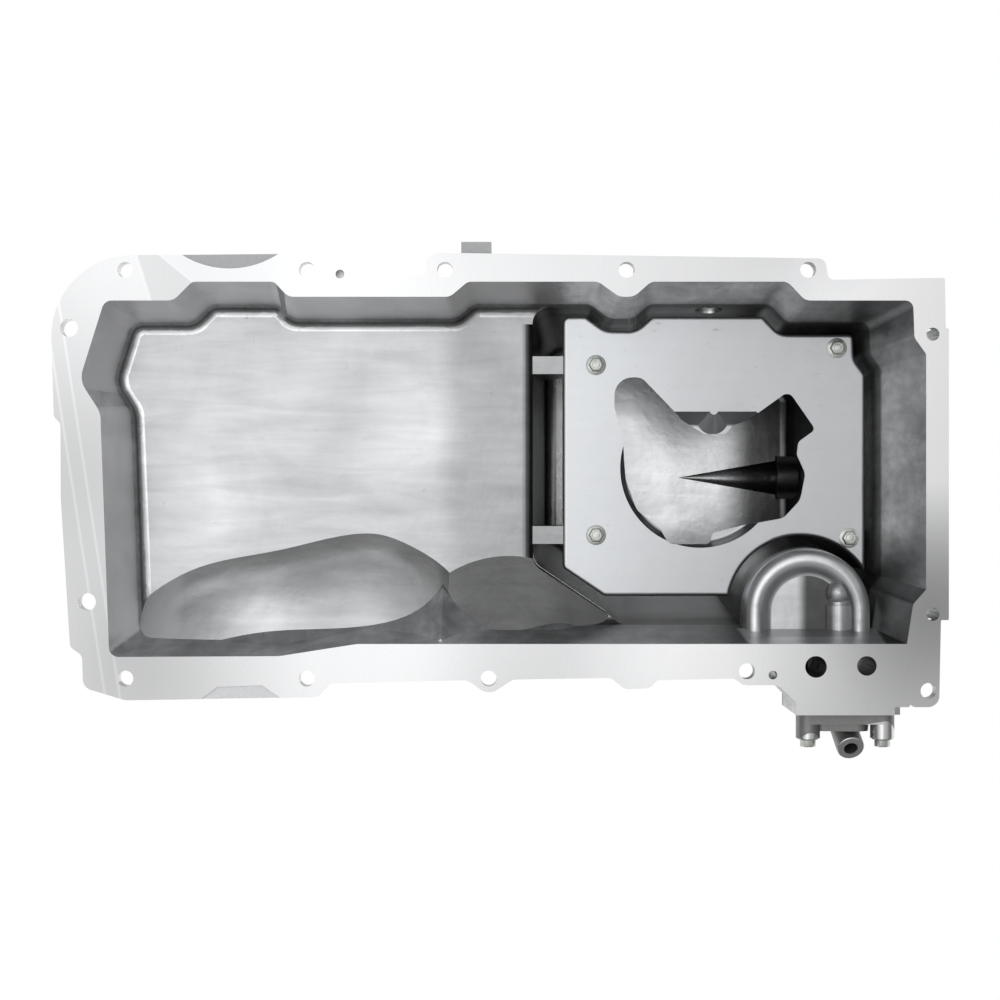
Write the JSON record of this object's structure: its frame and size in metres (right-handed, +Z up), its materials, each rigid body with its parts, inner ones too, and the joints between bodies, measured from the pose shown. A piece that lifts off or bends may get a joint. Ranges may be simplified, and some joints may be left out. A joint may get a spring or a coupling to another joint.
{
  "type": "engine oil pan",
  "caption": "Cast oil pan with a shallow tray, deep rear sump, baffle plate, filter turret, side cover with hose port, bypass valve and plugs.",
  "frame": {"origin": "centre of the four front rail bolts, on the machined rail face", "axes": "+X to the rear of the engine, +Z up out of the rail face, +Y to the row with five rail bolts"},
  "size_m": [0.5524, 0.3228, 0.211],
  "materials": {
    "cast_aluminium": "as cast, rail face machined",
    "cover_aluminium": "as cast",
    "sheet_steel": "pressed, satin",
    "zinc_steel": "zinc plated",
    "spring_steel": "oiled",
    "gasket_red": "matt",
    "seal_rubber": "matt"
  },
  "bodies": {
    "pan": {"baffle_bolt_1": "zinc_steel", "baffle_bolt_2": "zinc_steel", "baffle_bolt_3": "zinc_steel", "baffle_bolt_4": "zinc_steel", "baffle_plate": "sheet_steel", "bypass_valve_seat": "spring_steel", "bypass_valve_spring": "spring_steel", "cover_bolt_1": "zinc_steel", "cover_bolt_2": "zinc_steel", "cover_gasket": "gasket_red", "drain_plug": "zinc_steel", "drain_plug_seal": "seal_rubber", "filter_nipple": "zinc_steel", "gallery_cup_plug": "zinc_steel", "level_port_plug": "zinc_steel", "level_port_plug_seal": "seal_rubber", "pan_casting": "cast_aluminium", "passage_cover": "cover_aluminium"},
    "valve_disc": {"bypass_valve_disc": "spring_steel"}
  },
  "joints": [
    {"name": "bypass_valve_lift", "type": "slide", "parent": "pan", "child": "valve_disc", "axis": [0, 1, 0], "range_m": [0, 0.003], "stiffness_N_per_m": 1500, "springref_m": -0.004, "deforming": ["bypass_valve_spring"]}
  ]
}
